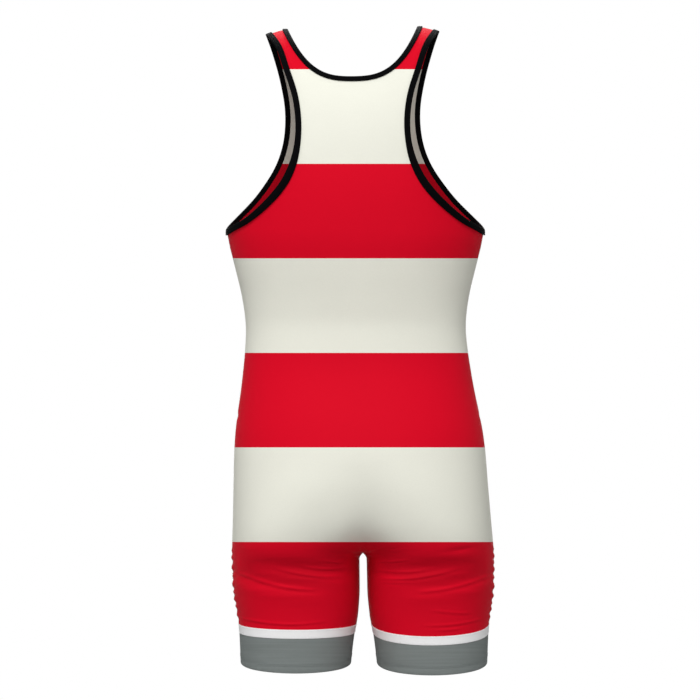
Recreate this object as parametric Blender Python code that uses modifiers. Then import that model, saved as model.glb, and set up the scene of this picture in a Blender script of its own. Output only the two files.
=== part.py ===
"""Athletic singlet in its worn form, for Blender 4.5.

The cloth is a front and a back panel, each lofted through sections of a plain
figure and cut by the neck, the armhole, the side seam, the inseam and the leg.
Folded binding edges the neck and the armholes, and each leg ends in a white
stripe and a grey band. Units are metres, +Z is up, the wearer faces +Y, and the
origin lies midway between the undersides of the two shoulder straps, where they
rest on the wearer.
"""

import bisect
import functools
import itertools
import math
from collections import namedtuple

import bmesh
import bpy
from mathutils import Vector

# Cloth and sewing
PANEL_WALL = 0.0016
BAND_WALL = 0.0020
BINDING_WALL = 0.0026
FOLD_ROUND = 0.16
FOLD_FLAT = 0.45
NECK_BINDING = 0.0058
ARMHOLE_BINDING = 0.0068
SEAM_GAP = 0.0003

# Neck, shoulder and armhole. A drop is measured down from the shoulder ridge.
NECK_HALF_WIDTH = 0.0855
SLOPE_START = 0.094
SHOULDER_SLOPE = 0.34
SLOPE_FADE = 0.030
SLOPE_ROUND = 0.006
SHOULDER_TILT = 0.020
TILT_FADE = 0.070
UNDERARM_DROP = 0.266

# The levels that the panels' rows keep to
CHEST_DROP = 0.325
WAIST_DROP = 0.399
SEAT_DROP = 0.600

# Seat and legs
SECTION_SQUARENESS = 2.25
LEG_CENTRE = 0.0887
LEG_SPREAD_DROP = 0.560
SEAT_FOLD_DROP = 0.625
SEAT_FOLD_SQUARENESS = 2.8
CROTCH_DROP = 0.693
CROTCH_ROUND = 0.006
LEG_EDGE_DROP = 0.786
CREASE_FADE = 0.012
STRIPE_HEIGHT = 0.0108
HEM_DROP = 0.8365

# How finely the shapes are divided
COLUMNS = 12
BAND_ROWS = 3
SECTION_STEPS = 40
PATH_STEPS = 48
SOLVER_TURNS = 6
SOLVER_STEP = 1e-4
TANGENT_STEP = 0.002
WELD = 2e-5
CUTTER_SIZE = 2.0

# The figure at each drop: half of its width, how far the back and the front stand
# from the shoulder line, and how far the pose leans to the wearer's right.
Section = namedtuple("Section", "drop half_width back front lean")
FIGURE = (
    Section(0.000, 0.2000, 0.000, 0.000, 0.0000),
    Section(0.008, 0.1990, 0.028, 0.026, 0.0000),
    Section(0.030, 0.1950, 0.058, 0.050, 0.0000),
    Section(0.065, 0.1890, 0.084, 0.072, 0.0000),
    Section(0.110, 0.1820, 0.101, 0.091, 0.0002),
    Section(0.160, 0.1760, 0.110, 0.105, 0.0010),
    Section(0.215, 0.1722, 0.114, 0.114, 0.0028),
    Section(0.270, 0.1692, 0.111, 0.119, 0.0038),
    Section(0.320, 0.1580, 0.101, 0.119, 0.0038),
    Section(0.360, 0.1487, 0.092, 0.116, 0.0039),
    Section(0.399, 0.1448, 0.086, 0.112, 0.0044),
    Section(0.440, 0.1490, 0.087, 0.109, 0.0056),
    Section(0.480, 0.1545, 0.095, 0.107, 0.0068),
    Section(0.520, 0.1620, 0.106, 0.106, 0.0083),
    Section(0.545, 0.1652, 0.112, 0.105, 0.0092),
    Section(0.600, 0.1680, 0.118, 0.101, 0.0108),
    Section(0.650, 0.1706, 0.112, 0.095, 0.0125),
    Section(0.697, 0.1730, 0.100, 0.088, 0.0138),
    Section(0.740, 0.1718, 0.090, 0.084, 0.0145),
    Section(0.787, 0.1655, 0.081, 0.080, 0.0150),
    Section(0.860, 0.1626, 0.076, 0.077, 0.0152),
)

# Half of the distance between the legs.
LegGap = namedtuple("LegGap", "drop half_gap")
LEG_GAPS = (
    LegGap(0.690, 0.0044),
    LegGap(0.740, 0.0047),
    LegGap(0.771, 0.0070),
    LegGap(0.808, 0.0132),
    LegGap(0.860, 0.0185),
)

# The finished armhole edge, from the shoulder ridge to the side seam.
ArmholePoint = namedtuple("ArmholePoint", "drop half_width")
BACK_ARMHOLE = (
    ArmholePoint(0.000, 0.1150),
    ArmholePoint(0.008, 0.1100),
    ArmholePoint(0.026, 0.1000),
    ArmholePoint(0.054, 0.0912),
    ArmholePoint(0.090, 0.0797),
    ArmholePoint(0.128, 0.0755),
    ArmholePoint(0.162, 0.0795),
    ArmholePoint(0.193, 0.0916),
    ArmholePoint(0.217, 0.1089),
    ArmholePoint(0.240, 0.1320),
    ArmholePoint(0.256, 0.1535),
    ArmholePoint(UNDERARM_DROP, None),
)
FRONT_ARMHOLE = (
    ArmholePoint(0.000, 0.1150),
    ArmholePoint(0.008, 0.1125),
    ArmholePoint(0.032, 0.1055),
    ArmholePoint(0.072, 0.0950),
    ArmholePoint(0.110, 0.0890),
    ArmholePoint(0.148, 0.0912),
    ArmholePoint(0.180, 0.1015),
    ArmholePoint(0.206, 0.1175),
    ArmholePoint(0.228, 0.1345),
    ArmholePoint(0.246, 0.1520),
    ArmholePoint(0.258, 0.1640),
    ArmholePoint(UNDERARM_DROP, None),
)

# Soft ridges that run across each leg, below the seat and over the front of the thigh,
# from one share of the way round to another: 0 is the inseam and 1 the side seam.
Crease = namedtuple("Crease", "start end start_drop end_drop sag height width")
BACK_CREASES = (
    Crease(0.98, 0.36, 0.711, 0.741, 0.006, 0.0020, 0.0070),
    Crease(0.70, 0.10, 0.706, 0.720, 0.003, 0.0018, 0.0065),
)
FRONT_CREASES = (
    Crease(0.12, 0.80, 0.712, 0.676, 0.005, 0.0018, 0.0070),
    Crease(0.98, 0.45, 0.724, 0.742, 0.004, 0.0016, 0.0065),
)
TROUGH_SHARE = 0.5
TROUGH_OFFSET = 1.9

# One face of the garment: the side it lies on, the column of its depths, its neck,
# its armhole, its creases, and its rows between the named places down its length.
Face = namedtuple("Face", "name toward depth neck_drop neck_power armhole creases rows")
Rows = namedtuple("Rows", "neck chest waist seat crotch leg")
BACK = Face("back", -1, "back", 0.064, 3.0, BACK_ARMHOLE, BACK_CREASES, Rows(12, 16, 7, 8, 8, 14))
FRONT = Face("front", 1, "front", 0.150, 2.7, FRONT_ARMHOLE, FRONT_CREASES, Rows(16, 12, 7, 8, 8, 14))

# How much lower the middle of the back of each leg lies than its sides.
LegDip = namedtuple("LegDip", "name side stripe hem")
LEGS = (
    LegDip("left", -1, 0.0090, 0.0150),
    LegDip("right", 1, 0.0178, 0.0175),
)

# Hoops printed on the panels
HOOP_HEIGHT = 0.1248
FIRST_HOOP_DROP = 0.0544

Finish = namedtuple("Finish", "color roughness")
RED_CLOTH = Finish((0.62, 0.006, 0.022, 1.0), 0.55)
WHITE_CLOTH = Finish((0.80, 0.80, 0.72, 1.0), 0.55)
STRIPE_CLOTH = Finish((0.85, 0.85, 0.84, 1.0), 0.60)
BAND_CLOTH = Finish((0.19, 0.21, 0.205, 1.0), 0.65)
BINDING_CLOTH = Finish((0.004, 0.004, 0.005, 1.0), 0.50)


def smooth_curve(keys, values):
    """A function that runs smoothly through the points and never overshoots them."""
    steps = [(b - a) / (l - k) for k, l, a, b in zip(keys, keys[1:], values, values[1:])]
    turns = [2 * a * b / (a + b) if a * b > 0 else 0.0 for a, b in zip(steps, steps[1:])]
    slopes = [steps[0], *turns, steps[-1]]

    def at(key):
        i = min(max(bisect.bisect_right(keys, key) - 1, 0), len(steps) - 1)
        span = keys[i + 1] - keys[i]
        t = (key - keys[i]) / span
        start = (1 + 2 * t) * (1 - t) ** 2 * values[i] + t * (1 - t) ** 2 * span * slopes[i]
        end = t * t * (3 - 2 * t) * values[i + 1] + t * t * (t - 1) * span * slopes[i + 1]
        return start + end

    return at


@functools.lru_cache(maxsize=None)
def column(table, name):
    """A column of a table as a curve over the root of the drop, which rounds the shoulder."""
    return smooth_curve([math.sqrt(row.drop) for row in table], [getattr(row, name) for row in table])


def figure(name, drop):
    """A size of the figure at a drop."""
    return column(FIGURE, name)(math.sqrt(max(drop, 0.0)))


def blend(share):
    """Rises smoothly from 0 to 1 as share does."""
    share = min(max(share, 0.0), 1.0)
    return share * share * (3 - 2 * share)


def half_gap(drop):
    """Half of the distance between the legs, round at the crotch."""
    below = min(max((drop - CROTCH_DROP) / CROTCH_ROUND, 0.0), 1.0)
    return column(LEG_GAPS, "half_gap")(math.sqrt(drop)) * math.sqrt(1 - (1 - below) ** 2)


def fold_angle(drop):
    """The angle at which a half section starts: 0 on the trunk, a right angle on a leg."""
    share = min(max((drop - SEAT_FOLD_DROP) / (CROTCH_DROP - SEAT_FOLD_DROP), 0.0), 1.0)
    depth_share = (1 - share**SEAT_FOLD_SQUARENESS) ** (1 / SEAT_FOLD_SQUARENESS)
    return math.acos(depth_share ** (SECTION_SQUARENESS / 2))


@functools.lru_cache(maxsize=None)
def half_section(depth_name, drop):
    """Points (x, depth) round half of a section, from the centre or the inseam to the side
    seam, with the share of the length at each."""
    wide, deep = figure("half_width", drop), figure(depth_name, drop)
    middle = LEG_CENTRE * blend((drop - LEG_SPREAD_DROP) / (CROTCH_DROP - LEG_SPREAD_DROP))
    inner, start, power = half_gap(drop), fold_angle(drop), 2 / SECTION_SQUARENESS
    points = []
    if start > 0:
        for k in range(SECTION_STEPS, 0, -1):
            angle = start * k / SECTION_STEPS
            reach = (math.sin(angle) / math.sin(start)) ** power
            points.append((middle - (middle - inner) * reach, deep * max(math.cos(angle), 0.0) ** power))
    elif middle > 0:
        points.append((0.0, deep))
    for k in range(SECTION_STEPS + 1):
        angle = math.pi / 2 * k / SECTION_STEPS
        across, out = math.sin(angle) ** power, max(math.cos(angle), 0.0) ** power
        points.append((middle + (wide - middle) * across, deep * out))
    lengths = [0.0]
    for (x0, y0), (x1, y1) in zip(points, points[1:]):
        lengths.append(lengths[-1] + math.hypot(x1 - x0, y1 - y0))
    return points, [length / lengths[-1] for length in lengths]


def share_at_width(face, drop, width):
    """How far round the half section a half width lies; None means the side seam."""
    if width is None:
        return 1.0
    points, shares = half_section(face.depth, drop)
    for i in range(len(points) - 1):
        x0, x1 = points[i][0], points[i + 1][0]
        if x0 <= width <= x1 and x1 > x0:
            return shares[i] + (shares[i + 1] - shares[i]) * (width - x0) / (x1 - x0)
    return 1.0


def surface(face, root, share):
    """The half figure's point for the root of a drop and a share of the way to the side."""
    drop = root * root
    points, shares = half_section(face.depth, drop)
    i = min(max(bisect.bisect_right(shares, share) - 1, 0), len(points) - 2)
    t = (share - shares[i]) / (shares[i + 1] - shares[i])
    x = points[i][0] + (points[i + 1][0] - points[i][0]) * t
    depth = points[i][1] + (points[i + 1][1] - points[i][1]) * t
    past = x - SLOPE_START
    slope = SHOULDER_SLOPE * math.exp(-drop / SLOPE_FADE)
    fall = slope * (past + math.hypot(past, SLOPE_ROUND)) / 2
    return Vector((x, face.toward * depth, PANEL_WALL - drop - fall))


def surface_axes(face, root, share):
    """The surface's two tangents and its outward normal."""
    above = max(root - TANGENT_STEP, 0.0)
    down = surface(face, root + TANGENT_STEP, share) - surface(face, above, share)
    low, high = max(share - TANGENT_STEP, 0.0), min(share + TANGENT_STEP, 1.0)
    around = surface(face, root, high) - surface(face, root, low)
    normal = around.cross(down) * -face.toward
    return down.normalized(), around.normalized(), normal.normalized()


def curve_through(points):
    """A dense smooth path through (root, share) points, square to the seam at both ends."""
    first, last = points[1], points[-2]
    points = [(-first[0], first[1]), *points, (last[0], 2 - last[1])]
    path = []
    for a, b, c, d in zip(points, points[1:], points[2:], points[3:]):
        for k in range(PATH_STEPS):
            t = k / PATH_STEPS
            weights = (
                (-t + 2 * t**2 - t**3) / 2,
                (2 - 5 * t**2 + 3 * t**3) / 2,
                (t + 4 * t**2 - 3 * t**3) / 2,
                (-(t**2) + t**3) / 2,
            )
            path.append(tuple(sum(w * p[n] for w, p in zip(weights, (a, b, c, d))) for n in (0, 1)))
    return [*path, points[-2]]


def armhole_path(face):
    """From the shoulder ridge to the side seam."""
    points = [(math.sqrt(p.drop), share_at_width(face, p.drop, p.half_width)) for p in face.armhole]
    return curve_through(points)


def neck_path(face):
    """From the shoulder ridge to the lowest point of the neck, at the centre."""
    path = []
    for k in range(4 * PATH_STEPS + 1):
        width = 1 - k / (4 * PATH_STEPS)
        drop = face.neck_drop * (1 - width**face.neck_power)
        path.append((math.sqrt(drop), share_at_width(face, drop, NECK_HALF_WIDTH * width)))
    return path


def straight_path(start_drop, end_drop, share):
    """Straight down the middle, the inseam or the side seam."""
    return [
        (math.sqrt(start_drop + (end_drop - start_drop) * k / PATH_STEPS), share)
        for k in range(PATH_STEPS + 1)
    ]


def seat_path():
    """Down the centre and under the seat to the crotch."""
    path = []
    for k in range(PATH_STEPS + 1):
        reach = math.sin(math.pi / 2 * k / PATH_STEPS) ** (2 / SEAT_FOLD_SQUARENESS)
        path.append((math.sqrt(SEAT_FOLD_DROP + (CROTCH_DROP - SEAT_FOLD_DROP) * reach), 0.0))
    return path


def evenly(face, path, rows):
    """The path's points at equal distances along the surface, rows of them after the first."""
    places = [surface(face, *point) for point in path]
    lengths = [0.0]
    for a, b in zip(places, places[1:]):
        lengths.append(lengths[-1] + (b - a).length)
    picked = []
    for row in range(rows + 1):
        wanted = lengths[-1] * row / rows
        i = min(max(bisect.bisect_right(lengths, wanted) - 1, 0), len(path) - 2)
        while lengths[i + 1] <= lengths[i]:
            i -= 1
        t = (wanted - lengths[i]) / (lengths[i + 1] - lengths[i])
        picked.append(tuple(path[i][n] + (path[i + 1][n] - path[i][n]) * t for n in (0, 1)))
    return picked


def edge_frames(face, edge, inward_share):
    """For each point of a finished edge: its place, its direction, the way into the cloth and
    the outward normal. inward_share is 1 where the cloth lies towards the side seam."""
    places = [surface(face, *point) for point in edge]
    frames = []
    for i, point in enumerate(edge):
        along = places[min(i + 1, len(edge) - 1)] - places[max(i - 1, 0)]
        normal = surface_axes(face, *point)[2]
        along = (along - normal * along.dot(normal)).normalized()
        inward = normal.cross(along)
        if inward.dot(surface_axes(face, *point)[1]) * inward_share < 0:
            inward = -inward
        frames.append([places[i], along, inward, normal])
    return frames


def level_end(frame, side_direction):
    """Makes an edge cross a seam line squarely, so that both faces share its frame there."""
    _, _, inward, normal = frame
    along = (side_direction - normal * side_direction.dot(normal)).normalized()
    square = normal.cross(along)
    frame[1], frame[2] = along, square if square.dot(inward) > 0 else -square


def moved_in(face, point, frame, distance):
    """The (root, share) that lies distance into the cloth from a point of a finished edge."""
    root, share = point
    place, along, inward, _ = frame
    for _ in range(SOLVER_TURNS):
        here = surface(face, root, share) - place
        by_root = (surface(face, root + SOLVER_STEP, share) - place - here) / SOLVER_STEP
        back = SOLVER_STEP if share > 0.5 else -SOLVER_STEP
        by_share = (here - (surface(face, root, share - back) - place)) / back
        miss = (distance - here.dot(inward), -here.dot(along))
        a, b = by_root.dot(inward), by_share.dot(inward)
        c, d = by_root.dot(along), by_share.dot(along)
        size = a * d - b * c
        root += (miss[0] * d - miss[1] * b) / size
        share += (a * miss[1] - c * miss[0]) / size
        share = min(max(share, 0.0), 1.0)
        root = max(root, 0.0)
    return root, share


def neck_edge(face):
    """The finished neck edge's points and frames, from the ridge to the centre."""
    edge = evenly(face, neck_path(face), face.rows.neck)
    frames = edge_frames(face, edge, 1)
    level_end(frames[0], Vector((0, 1, 0)))
    level_end(frames[-1], Vector((1, 0, 0)))
    return edge, frames


def armhole_edge(face):
    """The finished armhole edge's points and frames, from the ridge to the side seam."""
    edge = evenly(face, armhole_path(face), face.rows.neck + face.rows.chest)
    frames = edge_frames(face, edge, -1)
    level_end(frames[0], Vector((0, 1, 0)))
    level_end(frames[-1], Vector((0, 1, 0)))
    frames[-1][2] = Vector((0, 0, -1))
    return edge, frames


def panel_edges(face):
    """The cut panel's inner and outer edges, row by row, as (root, share)."""
    neck, neck_frames = neck_edge(face)
    inner = [moved_in(face, p, f, NECK_BINDING + SEAM_GAP) for p, f in zip(neck, neck_frames)]
    armhole, armhole_frames = armhole_edge(face)
    outer = [moved_in(face, p, f, ARMHOLE_BINDING + SEAM_GAP) for p, f in zip(armhole, armhole_frames)]
    underarm = UNDERARM_DROP + ARMHOLE_BINDING + SEAM_GAP
    inner[0], inner[-1] = (0.0, inner[0][1]), (inner[-1][0], 0.0)
    outer[0], outer[-1] = (0.0, outer[0][1]), (math.sqrt(underarm), 1.0)
    rows, leg_edge = face.rows, LEG_EDGE_DROP - SEAM_GAP / 2
    for start, end, count in (
        (inner[-1][0] ** 2, CHEST_DROP, rows.chest),
        (CHEST_DROP, WAIST_DROP, rows.waist),
        (WAIST_DROP, SEAT_DROP, rows.seat),
    ):
        inner += evenly(face, straight_path(start, end, 0.0), count)[1:]
    inner += evenly(face, straight_path(SEAT_DROP, SEAT_FOLD_DROP, 0.0) + seat_path()[1:], rows.crotch)[1:]
    inner += evenly(face, straight_path(CROTCH_DROP, leg_edge, 0.0), rows.leg)[1:]
    for start, end, count in (
        (underarm, WAIST_DROP, rows.waist),
        (WAIST_DROP, SEAT_DROP, rows.seat),
        (SEAT_DROP, CROTCH_DROP, rows.crotch),
        (CROTCH_DROP, leg_edge, rows.leg),
    ):
        outer += evenly(face, straight_path(start, end, 1.0), count)[1:]
    return inner, outer


def crease_height(face, drop, share):
    """How far the cloth stands out at the creases, each a ridge with a trough below it."""
    height = 0.0
    for crease in face.creases:
        along = (share - crease.start) / (crease.end - crease.start)
        if not 0 < along < 1:
            continue
        line = crease.start_drop + (crease.end_drop - crease.start_drop) * along
        line += crease.sag * 4 * along * (1 - along)
        off = (drop - line) / crease.width
        profile = math.exp(-(off**2)) - TROUGH_SHARE * math.exp(-((off - TROUGH_OFFSET) ** 2))
        height += crease.height * math.sqrt(math.sin(math.pi * along)) * profile
    return height * blend((LEG_EDGE_DROP - drop) / CREASE_FADE)


def leg_dip(dip, drop, share):
    """How far a leg's rows sag at the back, and rise at the front, towards its lower edge."""
    below = min(max((drop - CROTCH_DROP) / (LEG_EDGE_DROP - CROTCH_DROP), 0.0), 1.0)
    return dip * below**1.5 * math.sin(math.pi * share)


def posed(side, point, drop):
    """A point of one half moved to its side, with the lean and the tilt of the shoulders."""
    x = side * point.x
    tilt = SHOULDER_TILT * math.exp(-drop / TILT_FADE)
    return Vector((x + figure("lean", drop), point.y, point.z + tilt * x))


def placed(face, side, root, share, dip):
    """A point of the panels on one side, with the leg's dip and its creases."""
    drop = root * root
    drop += -face.toward * leg_dip(dip, drop, share)
    root = math.sqrt(drop)
    point = surface(face, root, share)
    if drop > SEAT_FOLD_DROP:
        point += surface_axes(face, root, share)[2] * crease_height(face, drop, share)
    return posed(side, point, drop)


def garment_sheet():
    """The panels' outer surface in one sheet, open at the neck, the armholes and the legs. It
    is lofted in four quarters, which meet at the seams and down the middle."""
    vertices, faces = [], []
    for face, leg in itertools.product((BACK, FRONT), LEGS):
        first = len(vertices)
        inner, outer = panel_edges(face)
        for start, end in zip(inner, outer):
            for n in range(COLUMNS + 1):
                root, share = (a + (b - a) * n / COLUMNS for a, b in zip(start, end))
                vertices.append(placed(face, leg.side, root, share, leg.stripe))
        for row in range(len(inner) - 1):
            for n in range(COLUMNS):
                a = first + row * (COLUMNS + 1) + n
                b = a + COLUMNS + 1
                quad = (a, a + 1, b + 1, b)
                faces.append(quad if leg.side == face.toward else quad[::-1])
    mesh = bpy.data.meshes.new("garment_sheet")
    mesh.from_pydata(vertices, [], faces)
    sheet = bmesh.new()
    sheet.from_mesh(mesh)
    bmesh.ops.remove_doubles(sheet, verts=sheet.verts, dist=WELD)
    for edge in sheet.edges:
        edge.smooth = not edge.is_boundary
    sheet.to_mesh(mesh)
    sheet.free()
    mesh.shade_smooth()
    return mesh


def half_space(face):
    """A cutter that holds all that lies on a face's side of the seams."""
    bpy.ops.mesh.primitive_cube_add(size=CUTTER_SIZE)
    cutter = bpy.context.object
    cutter.name = face.name + "_side"
    cutter.location = (0, face.toward * (CUTTER_SIZE + SEAM_GAP) / 2, -CUTTER_SIZE / 4)
    cutter.hide_render = True
    cutter.display_type = "WIRE"
    return cutter


def panel(face, sheet, cutter):
    """A front or back panel: the sheet with its wall on the inside, cut at the seams."""
    piece = bpy.data.objects.new(face.name + "_panel", sheet.copy())
    piece.data.materials.append(hooped_cloth(piece.name + "_cloth", RED_CLOTH, WHITE_CLOTH))
    wall = piece.modifiers.new("wall", "SOLIDIFY")
    wall.thickness = PANEL_WALL
    wall.offset = -1.0
    seams = piece.modifiers.new("seams", "BOOLEAN")
    seams.operation = "INTERSECT"
    seams.object = cutter
    return piece


def ring(name, sections, finish):
    """A closed band through sections that hold the same number of points."""
    mesh = bpy.data.meshes.new(name)
    band = bmesh.new()
    rings = [[band.verts.new(point) for point in section] for section in sections]
    for here, there in zip(rings, rings[1:] + rings[:1]):
        for n in range(len(here)):
            m = (n + 1) % len(here)
            band.faces.new((here[n], here[m], there[m], there[n]))
    bmesh.ops.recalc_face_normals(band, faces=band.faces)
    band.to_mesh(mesh)
    band.free()
    mesh.shade_smooth()
    mesh.set_sharp_from_angle(angle=math.radians(50))
    mesh.materials.append(plain_cloth(name + "_cloth", finish))
    return bpy.data.objects.new(name, mesh)


def binding_section(frame, width, side):
    """The folded binding's outline at one point of an edge: flat faces and a round fold."""
    place, _, inward, normal = frame
    middle = -PANEL_WALL / 2
    half = BINDING_WALL / 2
    outline = (
        (width, half),
        (FOLD_ROUND * width, half),
        (0.0, FOLD_FLAT * half),
        (0.0, -FOLD_FLAT * half),
        (FOLD_ROUND * width, -half),
        (width, -half),
    )
    points = []
    for across, out in outline:
        point = place + inward * across + normal * (middle + out)
        points.append(posed(side, point, PANEL_WALL - place.z))
    return points


def armhole_binding(leg):
    """One closed ring, up the back from the underarm, over the strap and down the front."""
    back = [binding_section(frame, ARMHOLE_BINDING, leg.side) for frame in armhole_edge(BACK)[1]]
    front = [binding_section(frame, ARMHOLE_BINDING, leg.side) for frame in armhole_edge(FRONT)[1]]
    return ring("armhole_binding_" + leg.name, back + front[-2:0:-1], BINDING_CLOTH)


def neck_binding():
    """One closed ring round the neck, over both straps."""
    sections = []
    for face, side, backwards in ((BACK, 1, False), (BACK, -1, True), (FRONT, -1, False), (FRONT, 1, True)):
        half = [binding_section(frame, NECK_BINDING, side) for frame in neck_edge(face)[1]]
        sections += half[:0:-1] if backwards else half[:-1]
    return ring("neck_binding", sections, BINDING_CLOTH)


def leg_ring_point(face, leg, drop, share, dip):
    """A point of a leg's outer surface, sagging at the back and rising at the front."""
    drop += -face.toward * dip * math.sin(math.pi * share)
    point = surface(face, math.sqrt(drop), share)
    return posed(leg.side, point, drop)


def leg_tube(name, leg, top, bottom, rows, finish):
    """A closed tube of cloth round a leg. Top and bottom each give a drop and a dip."""
    turns = [(BACK, n / COLUMNS) for n in range(COLUMNS + 1)]
    turns += [(FRONT, n / COLUMNS) for n in range(COLUMNS - 1, 0, -1)]
    rings = []
    for row in range(rows + 1):
        t = row / rows
        drop, dip = (a + (b - a) * t for a, b in zip(top, bottom))
        rings.append([leg_ring_point(face, leg, drop, share, dip) for face, share in turns])
    sections = []
    for n in range(len(turns)):
        outer = [points[n] for points in rings]
        inner = []
        for points in rings:
            along = points[(n + 1) % len(turns)] - points[n - 1]
            normal = Vector((along.y, -along.x, 0)).normalized()
            centre = sum(points, Vector()) / len(points)
            if normal.dot(points[n] - centre) < 0:
                normal = -normal
            inner.append(points[n] - normal * BAND_WALL)
        sections.append(outer + inner[::-1])
    return ring(name, sections, finish)


def leg_pieces(leg):
    """The white stripe and the grey band at the end of a leg."""
    stripe_end = LEG_EDGE_DROP + STRIPE_HEIGHT
    half = SEAM_GAP / 2
    stripe_top, stripe_bottom = (LEG_EDGE_DROP + half, leg.stripe), (stripe_end - half, leg.stripe)
    band_top, hem = (stripe_end + half, leg.stripe), (HEM_DROP, leg.hem)
    return (
        leg_tube("leg_stripe_" + leg.name, leg, stripe_top, stripe_bottom, 1, STRIPE_CLOTH),
        leg_tube("leg_band_" + leg.name, leg, band_top, hem, BAND_ROWS, BAND_CLOTH),
    )


def plain_cloth(name, finish):
    """A plain dyed cloth."""
    material = bpy.data.materials.new(name)
    material.use_nodes = True
    shader = material.node_tree.nodes["Principled BSDF"]
    shader.inputs["Base Color"].default_value = finish.color
    shader.inputs["Roughness"].default_value = finish.roughness
    shader.inputs["Metallic"].default_value = 0.0
    material.diffuse_color = finish.color
    return material


def hooped_cloth(name, first, second):
    """Cloth printed in level hoops of two colours, by height."""
    material = plain_cloth(name, first)
    nodes, links = material.node_tree.nodes, material.node_tree.links
    place = nodes.new("ShaderNodeTexCoord")
    height = nodes.new("ShaderNodeSeparateXYZ")
    links.new(place.outputs["Object"], height.inputs[0])
    count = nodes.new("ShaderNodeMath")
    count.operation = "MULTIPLY_ADD"
    links.new(height.outputs["Z"], count.inputs[0])
    count.inputs[1].default_value = -1 / HOOP_HEIGHT
    count.inputs[2].default_value = (PANEL_WALL - FIRST_HOOP_DROP) / HOOP_HEIGHT
    odd = nodes.new("ShaderNodeMath")
    odd.operation = "FLOORED_MODULO"
    links.new(count.outputs[0], odd.inputs[0])
    odd.inputs[1].default_value = 2.0
    switch = nodes.new("ShaderNodeMath")
    switch.operation = "LESS_THAN"
    links.new(odd.outputs[0], switch.inputs[0])
    switch.inputs[1].default_value = 1.0
    mix = nodes.new("ShaderNodeMix")
    mix.data_type = "RGBA"
    links.new(switch.outputs[0], mix.inputs["Factor"])
    mix.inputs["A"].default_value = first.color
    mix.inputs["B"].default_value = second.color
    links.new(mix.outputs["Result"], nodes["Principled BSDF"].inputs["Base Color"])
    return material


def main():
    for obj in list(bpy.data.objects):
        bpy.data.objects.remove(obj, do_unlink=True)
    sheet = garment_sheet()
    cutters = [half_space(face) for face in (BACK, FRONT)]
    pieces = [panel(face, sheet, cutter) for face, cutter in zip((BACK, FRONT), cutters)]
    pieces.append(neck_binding())
    for leg in LEGS:
        pieces.append(armhole_binding(leg))
        pieces += leg_pieces(leg)
    for name, objects in (("athletic_singlet", pieces), ("cutters", cutters)):
        collection = bpy.data.collections.new(name)
        bpy.context.scene.collection.children.link(collection)
        for obj in objects:
            for holder in list(obj.users_collection):
                holder.objects.unlink(obj)
            collection.objects.link(obj)


main()
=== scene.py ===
"""Athletic singlet in its worn form, dressed over its fixed solids, for Blender 4.5.

Each piece of cloth is a thin sheet on the outer face of its solid. The creases are moved
into the cloth one by one, and the sewing runs along the sheets' own edges. Units are
metres, +Z is up and the wearer faces +Y.
"""

import math
from collections import namedtuple

import bmesh
import bpy
import numpy as np
from bpy.props import FloatProperty, FloatVectorProperty, PointerProperty
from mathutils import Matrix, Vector
from mathutils.bvhtree import BVHTree


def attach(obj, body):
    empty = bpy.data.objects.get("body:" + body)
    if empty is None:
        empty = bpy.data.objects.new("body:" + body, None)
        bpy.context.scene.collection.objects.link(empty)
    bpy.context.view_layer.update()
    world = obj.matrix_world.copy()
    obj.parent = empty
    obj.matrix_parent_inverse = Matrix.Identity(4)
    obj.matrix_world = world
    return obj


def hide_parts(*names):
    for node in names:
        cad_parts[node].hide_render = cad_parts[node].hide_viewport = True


bl_info = {
    "name": "Athletic Singlet",
    "version": (1, 0, 0),
    "blender": (4, 5, 0),
    "location": "View3D > Sidebar > Singlet",
    "description": "Dresses the singlet's solids in sewn stretch cloth",
    "category": "Add Mesh",
}

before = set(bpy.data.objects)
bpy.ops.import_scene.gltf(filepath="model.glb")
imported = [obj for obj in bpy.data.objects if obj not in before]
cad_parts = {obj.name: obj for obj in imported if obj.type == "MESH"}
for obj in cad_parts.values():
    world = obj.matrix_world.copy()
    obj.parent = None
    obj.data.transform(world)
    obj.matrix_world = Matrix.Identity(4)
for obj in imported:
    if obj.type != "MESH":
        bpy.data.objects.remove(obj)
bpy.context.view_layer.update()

# The print, in the same place as on the solids
PANEL_WALL = 0.0016
HOOP_HEIGHT = 0.1248
FIRST_HOOP_DROP = 0.0544

# How the solids' meshes are read: angles between faces, and how triangles are paired
MERGE = 1e-5
SKIN_ANGLE = math.radians(70)
STRIP_ANGLE = math.radians(75)
QUAD_ANGLE = math.radians(60)
QUAD_SHAPE = math.radians(120)
QUAD_ORDER = 1.5
SMOOTH_ANGLE = math.radians(40)
STRAIGHT_RIM = math.radians(150)
SEAM_REACH = 0.0004
GARMENT_MIDDLE = Vector((0.0, 0.0, -0.30))
CAST_FROM = 1.0

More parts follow.
